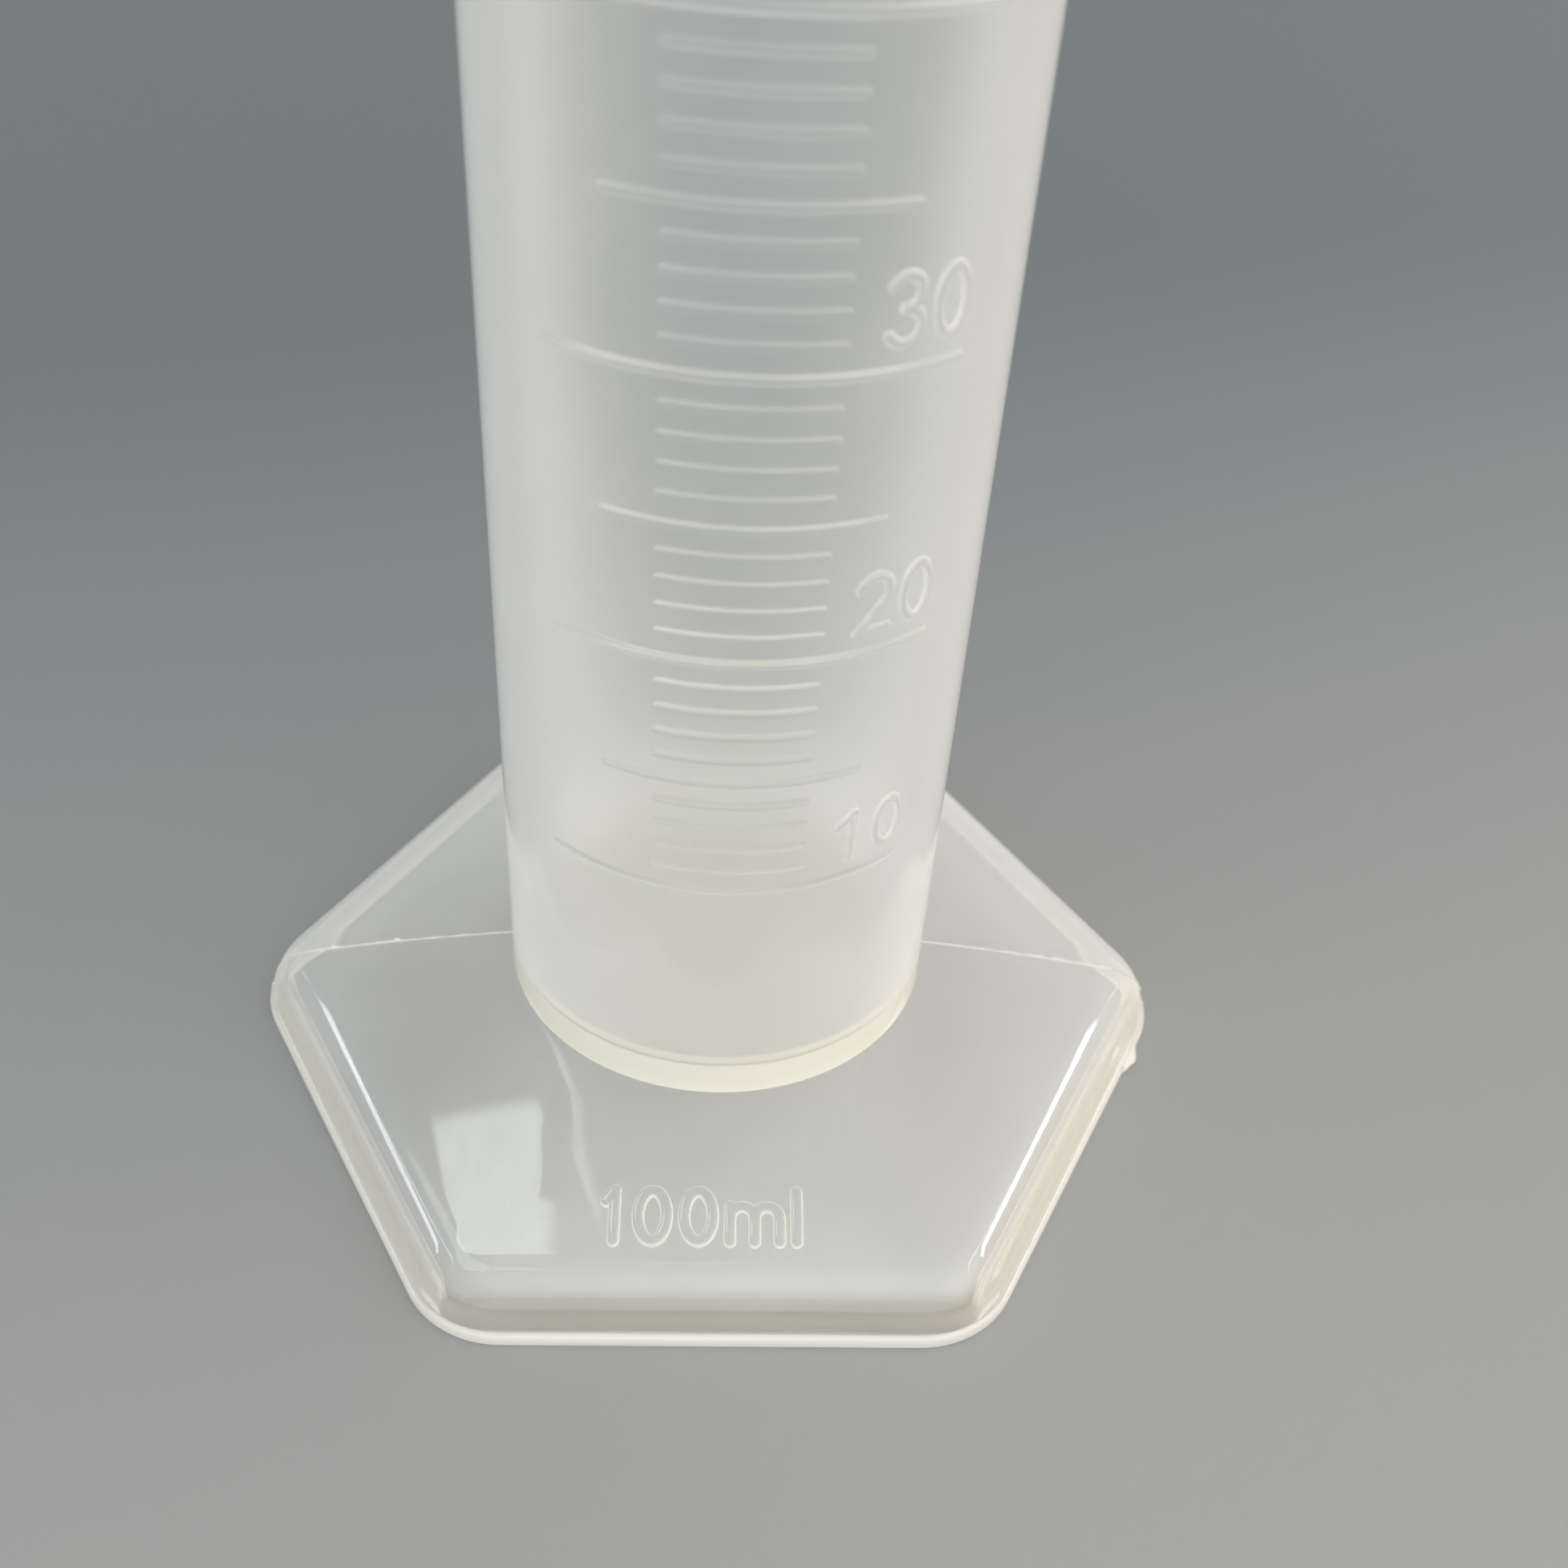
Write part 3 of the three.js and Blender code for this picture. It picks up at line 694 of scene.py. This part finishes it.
REFRACTIVE_INDEX = 1.49
MOST_MILK = 0.97
THROUGH_SHARE = 0.3
FLAT_CLEAR = (0.99, 0.99, 0.985)
FLAT_FACES = (0.4, 0.9)
# Painted light across a piece: where the milk rises from the painted shade on the left to the painted light
# in the middle, and where it falls off towards the right.
PAINTED_LIGHT_RISE = (-23 * MM, -8 * MM)
PAINTED_LIGHT_FALL = (8 * MM, 18 * MM)
CLOUD_SCALE = 140.0
CLOUD_DEPTH = 0.06
RELIEF_MILK = 0.12
# The ring of wall beside the floor is thick plastic with a painted glow, standing in for light piped down the
# wall.
RING_MILK_AND_PAINTED_GLOW = 0.92
RING_FADE = ((FLOOR_TOP + 0.64) * MM, (FLOOR_TOP + 1.10) * MM)
# The lip of the foot: thick plastic with a painted glow for light piped round it.
LIP_MILK_AND_PAINTED_GLOW = 0.9
LIP_FADE = ((LIP_HEIGHT - 0.05) * MM, (LIP_HEIGHT + 0.1) * MM)
# Steep faces on the foot's top, the edges of its mark: partly their depth, partly painted highlights.
STEEP_MILK_AND_PAINTED_HIGHLIGHT = 0.75
STEEP_FACES = (0.70, 0.93)

# A look's entries:
# - milk: the share of light that a face scatters, on flat faces, on side faces, and added edge on
# - swell: what the milk is multiplied by on the left, in the middle and on the right of the piece; on the
#   clear foot this paints shade on its left and light in its middle, beside the tube
# - colours of the scattered light: on flat faces, on side faces, and where the plastic is thick; on the
#   tube's ring and the foot's lip the thick colour also paints a glow, and the floor disc's colours are
#   darkened as painted shade
# - side_clear: the colour of what passes through a side face
# - side_mirror: how much of the mirror image a milky side face keeps
# - polish and haze: the roughness of what is mirrored and of what passes through
# - veil: how much light each face lets through into a shadow
# The tube's bright cream thick colour is partly the thick plastic's tint and partly a painted glow on the
# ring beside the floor.
MILKY = {
    "flat_milk": 0.065, "side_milk": 0.065, "edge_milk": 1.3, "swell": (1, 1, 1),
    "colour": (0.90, 0.90, 0.88), "side_colour": (0.90, 0.90, 0.88), "thick_colour": (0.85, 0.82, 0.72),
    "side_clear": FLAT_CLEAR, "side_mirror": 1.0, "polish": 0.12, "haze": 0.30, "veil": 0.90,
}
# The floor disc's colours are darkened as painted shade, for the shade it lies in at the bottom of the tube;
# its milk is the real thick plastic.
SHADED_THICK = {
    "flat_milk": 0.80, "side_milk": 0.80, "edge_milk": 0.5, "swell": (1, 1, 1),
    "colour": (0.60, 0.59, 0.54), "side_colour": (0.60, 0.59, 0.54), "thick_colour": (0.60, 0.59, 0.54),
    "side_clear": FLAT_CLEAR, "side_mirror": 1.0, "polish": 0.10, "haze": 0.30, "veil": 0.80,
}
# On the clear foot the swell is painted light: painted shade on its left, painted light in its middle beside
# the tube.
CLEAR = {
    "flat_milk": 0.134, "side_milk": 0.030, "edge_milk": 1.25, "swell": (0.78, 1.42, 0.96),
    # The thick colour brightens the lip with a painted glow and the mark's edges with painted highlights.
    "colour": (0.91, 0.91, 0.90), "side_colour": (0.90, 0.86, 0.77), "thick_colour": (0.81, 0.775, 0.72),
    "side_clear": (0.985, 0.968, 0.93), "side_mirror": 0.45, "polish": 0.035, "haze": 0.10, "veil": 0.965,
}


def feed(tree, socket, value):
    """Links another node's output to a socket, or sets the socket to a plain value."""
    if isinstance(value, bpy.types.NodeSocket):
        tree.links.new(value, socket)
    else:
        socket.default_value = value


def add(tree, kind, settings=None, **inputs):
    """A node with its settings and inputs."""
    made = tree.nodes.new(kind)
    for name, value in (settings or {}).items():
        setattr(made, name, value)
    for name, value in inputs.items():
        feed(tree, made.inputs[name.replace("_", " ")], value)
    return made


def maths(tree, operation, *values):
    made = add(tree, "ShaderNodeMath", {"operation": operation})
    for socket, value in zip(made.inputs, values):
        feed(tree, socket, value)
    return made.outputs[0]


def dot(tree, first, second):
    made = add(tree, "ShaderNodeVectorMath", {"operation": "DOT_PRODUCT"})
    feed(tree, made.inputs[0], first)
    feed(tree, made.inputs[1], second)
    return made.outputs["Value"]


def axis_of(tree, vector, axis):
    return add(tree, "ShaderNodeSeparateXYZ", Vector=vector).outputs["XYZ".index(axis)]


def blend(tree, share, first, second):
    """A colour between two colours, each an (r, g, b) or another node's output."""
    made = add(tree, "ShaderNodeMix", {"data_type": "RGBA"})
    feed(tree, made.inputs["Factor"], share)
    for socket, colour in ((made.inputs[6], first), (made.inputs[7], second)):
        feed(tree, socket, (*colour, 1) if isinstance(colour, tuple) else colour)
    return made.outputs[2]


def between(tree, share, first, second):
    """A number between two numbers."""
    made = add(tree, "ShaderNodeMix", {"data_type": "FLOAT"})
    feed(tree, made.inputs[0], share)
    feed(tree, made.inputs[2], first)
    feed(tree, made.inputs[3], second)
    return made.outputs[0]


def mix(tree, share, first, second):
    """A surface between two surfaces."""
    made = add(tree, "ShaderNodeMixShader")
    for socket, value in zip(made.inputs, (share, first, second)):
        feed(tree, socket, value)
    return made.outputs[0]


def ramp(tree, value, limits, ends):
    """A smooth step from one end to the other as the value goes between the limits."""
    made = add(tree, "ShaderNodeMapRange", {"interpolation_type": "SMOOTHSTEP"}, Value=value)
    made.inputs["From Min"].default_value, made.inputs["From Max"].default_value = limits
    made.inputs["To Min"].default_value, made.inputs["To Max"].default_value = ends
    return made.outputs[0]


def new_tree(name):
    material = bpy.data.materials.new(name)
    material.use_nodes = True
    material.node_tree.nodes.clear()
    return material, material.node_tree


def finish_material(tree, surface):
    tree.links.new(surface, add(tree, "ShaderNodeOutputMaterial").inputs["Surface"])


def object_place(tree):
    return add(tree, "ShaderNodeTexCoord").outputs["Object"]


def surface_normal(tree):
    return add(tree, "ShaderNodeTexCoord").outputs["Normal"]


def not_from_inside(tree):
    """1 where the light meets a face from outside, 0 where it meets it from within the plastic."""
    return maths(tree, "SUBTRACT", 1.0, add(tree, "ShaderNodeNewGeometry").outputs["Backfacing"])


def milk_share(tree, place, flat, look, thick):
    """The share of light each face scatters. It rises where the plastic is seen edge on, or is thick or has a
    painted glow, and it is scaled across the piece to paint shade and light.
    """
    facing = add(tree, "ShaderNodeLayerWeight", Blend=0.5).outputs["Facing"]
    edge = maths(tree, "MULTIPLY", maths(tree, "MULTIPLY", facing, facing), look["edge_milk"])
    level = maths(tree, "MULTIPLY_ADD", flat, look["flat_milk"] - look["side_milk"], look["side_milk"])
    # Painted shade and light: the milk is scaled by the look's swell across the piece.
    left, middle, right = look["swell"]
    across = axis_of(tree, place, "X")
    rise = ramp(tree, across, PAINTED_LIGHT_RISE, (left, middle))
    fall = ramp(tree, across, PAINTED_LIGHT_FALL, (0.0, right - middle))
    level = maths(tree, "MULTIPLY", level, maths(tree, "ADD", rise, fall))
    clouds = add(tree, "ShaderNodeTexNoise", Vector=place, Scale=CLOUD_SCALE, Detail=3.0).outputs[0]
    clearest = maths(tree, "SUBTRACT", level, CLOUD_DEPTH / 2)
    share = maths(tree, "ADD", edge, maths(tree, "MULTIPLY_ADD", clouds, CLOUD_DEPTH, clearest))
    return maths(tree, "MINIMUM", maths(tree, "MAXIMUM", share, thick), MOST_MILK)


def polypropylene(name, look, thick_at):
    """Milky plastic: each face scatters a share of the light and bends the rest, slightly blurred."""
    material, tree = new_tree(name)
    place = object_place(tree)
    upright = maths(tree, "ABSOLUTE", axis_of(tree, surface_normal(tree), "Z"))
    flat = ramp(tree, upright, FLAT_FACES, (0.0, 1.0))
    thick = thick_at(tree, place)
    share = milk_share(tree, place, flat, look, thick)

    thin_tint = blend(tree, flat, look["side_colour"], look["colour"])
    tint = blend(tree, thick, thin_tint, look["thick_colour"])
    diffuse = add(tree, "ShaderNodeBsdfDiffuse", Color=tint).outputs[0]
    through = add(tree, "ShaderNodeBsdfTranslucent", Color=tint).outputs[0]
    scatter = mix(tree, THROUGH_SHARE, diffuse, through)

    through_colour = blend(tree, flat, look["side_clear"], FLAT_CLEAR)
    bend = add(
        tree, "ShaderNodeBsdfRefraction", Color=through_colour, Roughness=look["haze"], IOR=REFRACTIVE_INDEX
    ).outputs[0]
    gloss = add(tree, "ShaderNodeBsdfGlossy", Color=(1, 1, 1, 1), Roughness=look["polish"]).outputs[0]
    mirror = add(tree, "ShaderNodeFresnel", IOR=REFRACTIVE_INDEX).outputs[0]
    dulled = maths(tree, "MULTIPLY_ADD", flat, 1.0 - look["side_mirror"], look["side_mirror"])
    milk_mirror = maths(tree, "MULTIPLY", maths(tree, "MULTIPLY", mirror, not_from_inside(tree)), dulled)
    glass = mix(tree, mirror, bend, gloss)
    milky = mix(tree, milk_mirror, scatter, gloss)
    solid = mix(tree, share, glass, milky)

    veil = look["veil"]
    shadow = add(tree, "ShaderNodeLightPath").outputs["Is Shadow Ray"]
    clear = add(tree, "ShaderNodeBsdfTransparent", Color=(veil, veil, veil, 1)).outputs[0]
    finish_material(tree, mix(tree, shadow, solid, clear))
    return material


def thick_relief(tree, place):
    """The wall beside the floor is thick, and its brightness there is partly a painted glow for light piped
    down inside the wall. The raised scale scatters more than the wall it stands on.
    """
    x, y, height = (axis_of(tree, place, axis) for axis in "XYZ")
    squares = maths(tree, "ADD", maths(tree, "MULTIPLY", x, x), maths(tree, "MULTIPLY", y, y))
    radius = maths(tree, "SQRT", squares)
    below_rim = maths(tree, "LESS_THAN", height, RIM_BOTTOM * MM)
    # Painted glow on the ring beside the floor, on top of its real thickness.
    at_floor = ramp(tree, height, RING_FADE, (RING_MILK_AND_PAINTED_GLOW, 0.0))
    relief = ((TUBE_RADIUS + 0.02) * MM, (TUBE_RADIUS + MARK_PROUD) * MM)
    raised = ramp(tree, radius, relief, (0.0, RELIEF_MILK))
    return maths(tree, "MAXIMUM", maths(tree, "MULTIPLY", raised, below_rim), at_floor)


def thick_lip(tree, place):
    """The lip round the bottom of the foot and the edges of its mark are seen through their whole depth, and
    are made brighter still by painted light: a painted glow on the lip and painted highlights on the mark's
    edges.
    """
    normal = surface_normal(tree)
    height = axis_of(tree, place, "Z")
    facing_out = maths(tree, "GREATER_THAN", dot(tree, place, normal), 0.5 * MM)
    outside = maths(tree, "MULTIPLY", facing_out, not_from_inside(tree))
    lip = maths(tree, "MULTIPLY", ramp(tree, height, LIP_FADE, (LIP_MILK_AND_PAINTED_GLOW, 0.0)), outside)
    on_top = maths(tree, "GREATER_THAN", height, (FOOT_EDGE_HEIGHT + 0.05) * MM)
    steep = ramp(tree, axis_of(tree, normal, "Z"), STEEP_FACES, (STEEP_MILK_AND_PAINTED_HIGHLIGHT, 0.0))
    return maths(tree, "MAXIMUM", lip, maths(tree, "MULTIPLY", steep, on_top))


def thick_everywhere(tree, place):
    return 0.95


def table_material():
    """Plain grey, darker towards the back and a little towards the left: painted shade."""
    material, tree = new_tree("grey_table")
    place = object_place(tree)
    # Painted shade: the colour goes from the lit grey in front to a dim cool grey at the back, where less
    # light falls.
    along = maths(tree, "MULTIPLY_ADD", axis_of(tree, place, "X"), -0.35, axis_of(tree, place, "Y"))
    painted_light_share = ramp(tree, along, (-0.08, 0.16), (1.0, 0.0))
    colour = blend(tree, painted_light_share, (0.135, 0.150, 0.158), (0.305, 0.303, 0.295))
    finish_material(tree, add(tree, "ShaderNodeBsdfPrincipled", Base_Color=colour, Roughness=0.7).outputs[0])
    return material


def glow_material(name, radiance, colour, mottle):
    """A light card's glow, a little uneven if it is mottled."""
    material, tree = new_tree(name)
    blotches = add(tree, "ShaderNodeTexNoise", Vector=object_place(tree), Scale=45.0, Detail=3.0).outputs[0]
    strength = maths(tree, "MULTIPLY_ADD", blotches, radiance * mottle * 2, radiance * (1 - mottle))
    finish_material(tree, add(tree, "ShaderNodeEmission", Color=(*colour, 1), Strength=strength).outputs[0])
    return material


def paint(piece, material):
    piece.data.materials.clear()
    piece.data.materials.append(material)


# ---- The stage. The room's sizes are metres from the foot's centre ----

TABLE_HALF = 3000.0
TABLE_LEVEL = -0.02
OVERHEAD = 0.8
CEILING_WINDOW = [
    (-0.508, 0.436), (-0.277, 0.434), (-0.262, 0.400), (-0.090, 0.160),
    (-0.070, 0.058), (-0.210, 0.100), (-0.410, 0.120), (-0.490, 0.372),
]
LEFT_WINDOW = [(-0.82, 0.53), (-0.73, 0.53), (-0.89, 0.11), (-1.00, 0.11)]
RIGHT_WINDOW = [(0.77, 0.55), (0.86, 0.55), (0.95, 0.15), (0.85, 0.15)]
WALL_DISTANCE = 1.8
WALL_HALF_WIDTH = 1.4
WALL_HEIGHT = 0.72

BRIGHT_SIDE = (0.25, -0.90, 0.35)
ROOM_BACK = 0.35
ROOM_FRONT = 1.86
LEFT_TINT = (0.88, 0.965, 1.02)
RIGHT_TINT = (0.99, 0.965, 0.935)
# The room's brightness on its left, and how much is added on its right.
WALLS = (0.945, -0.03)
CEILING = (0.40, 0.95)


def build_table():
    half = TABLE_HALF
    corners = [(-half, -half), (half, -half), (half, half), (-half, half)]
    table = mesh_object("table", [(x, y, TABLE_LEVEL) for x, y in corners], [(0, 1, 2, 3)])
    paint(table, table_material())


def light_card(name, corners, radiance, colour, mottle=0.0, diffuse=False):
    """A flat glowing shape that the camera doesn't see. Only reflections show it, unless it is diffuse."""
    points = [tuple(v / MM for v in corner) for corner in corners]
    card = mesh_object(name, points, [tuple(range(len(points)))])
    paint(card, glow_material(name, radiance, colour, mottle))
    card.visible_camera = False
    card.visible_diffuse = diffuse


def build_lights():
    """Three windows overhead that the foot mirrors, and a warm wall low on the right."""
    windows = [
        ("ceiling_window", CEILING_WINDOW, 4.5, (0.93, 1.0, 0.98), 0.45),
        ("left_window", LEFT_WINDOW, 9.0, (0.86, 0.95, 1.0), 0.0),
        ("right_window", RIGHT_WINDOW, 18.0, (1.0, 0.99, 0.97), 0.0),
    ]
    for name, outline, radiance, colour, mottle in windows:
        light_card(name, [(x, y, OVERHEAD) for x, y in outline], radiance, colour, mottle)
    ends = [(-WALL_HALF_WIDTH, 0.0), (WALL_HALF_WIDTH, 0.0), (WALL_HALF_WIDTH, WALL_HEIGHT),
            (-WALL_HALF_WIDTH, WALL_HEIGHT)]
    wall = [(WALL_DISTANCE, y, z) for y, z in ends]
    light_card("warm_wall", wall, 1.1, (1.0, 0.72, 0.42), diffuse=True)


def build_world():
    """A room that is dim behind and bright in front: cool on the left, warm on the right."""
    world = bpy.data.worlds.new("studio")
    world.use_nodes = True
    tree = world.node_tree
    tree.nodes.clear()
    way = add(tree, "ShaderNodeTexCoord").outputs["Generated"]
    towards_front = dot(tree, way, Vector(BRIGHT_SIDE).normalized())
    strength = ramp(tree, towards_front, (-0.7, 0.7), (ROOM_BACK, ROOM_FRONT))
    side = ramp(tree, axis_of(tree, way, "X"), (-0.8, 0.8), (0.0, 1.0))
    tint = blend(tree, side, LEFT_TINT, RIGHT_TINT)
    walls = maths(tree, "MULTIPLY_ADD", side, WALLS[1], WALLS[0])
    ceiling = maths(tree, "MULTIPLY_ADD", side, CEILING[1], CEILING[0])
    height = ramp(tree, axis_of(tree, way, "Z"), (0.25, 0.75), (0.0, 1.0))
    level = maths(tree, "MULTIPLY", strength, between(tree, height, walls, ceiling))
    background = add(tree, "ShaderNodeBackground", Color=tint, Strength=level).outputs[0]
    tree.links.new(background, add(tree, "ShaderNodeOutputWorld").inputs["Surface"])
    bpy.context.scene.world = world


def build_camera():
    """Close up and above the foot, a little to the left, with the top of the tube out of the picture."""
    place = Vector((-2.43, -87.95, 91.22))
    target = Vector((4.60, -0.61, 22.84))
    focus_place = Vector((0, -24.0, 5.0))
    roll = 0.079
    data = bpy.data.cameras.new("camera")
    data.sensor_width = 36.0
    data.lens = 36.9
    data.shift_x = -0.0050
    data.shift_y = -0.0044
    data.clip_start = 0.005
    data.clip_end = 20.0

    forward = (target - place).normalized()
    right = forward.cross(Vector((0, 0, 1))).normalized()
    up = right.cross(forward)
    turned_right = right * math.cos(roll) + up * math.sin(roll)
    turned_up = up * math.cos(roll) - right * math.sin(roll)
    basis = Matrix((turned_right, turned_up, -forward)).transposed().to_4x4()
    camera = bpy.data.objects.new("camera", data)
    camera.matrix_world = Matrix.Translation(place * MM) @ basis
    bpy.context.scene.collection.objects.link(camera)
    bpy.context.scene.camera = camera

    focus = bpy.data.objects.new("focus", None)
    focus.location = focus_place * MM
    bpy.context.scene.collection.objects.link(focus)
    data.dof.use_dof = True
    data.dof.focus_object = focus
    data.dof.aperture_fstop = 34.0


paint(build_tube(), polypropylene("milky_polypropylene", MILKY, thick_relief))
paint(build_floor(), polypropylene("shaded_thick_polypropylene", SHADED_THICK, thick_everywhere))
paint(build_foot(), polypropylene("clear_polypropylene", CLEAR, thick_lip))
build_table()
build_lights()
build_world()
build_camera()
bpy.context.scene.view_settings.view_transform = "Standard"
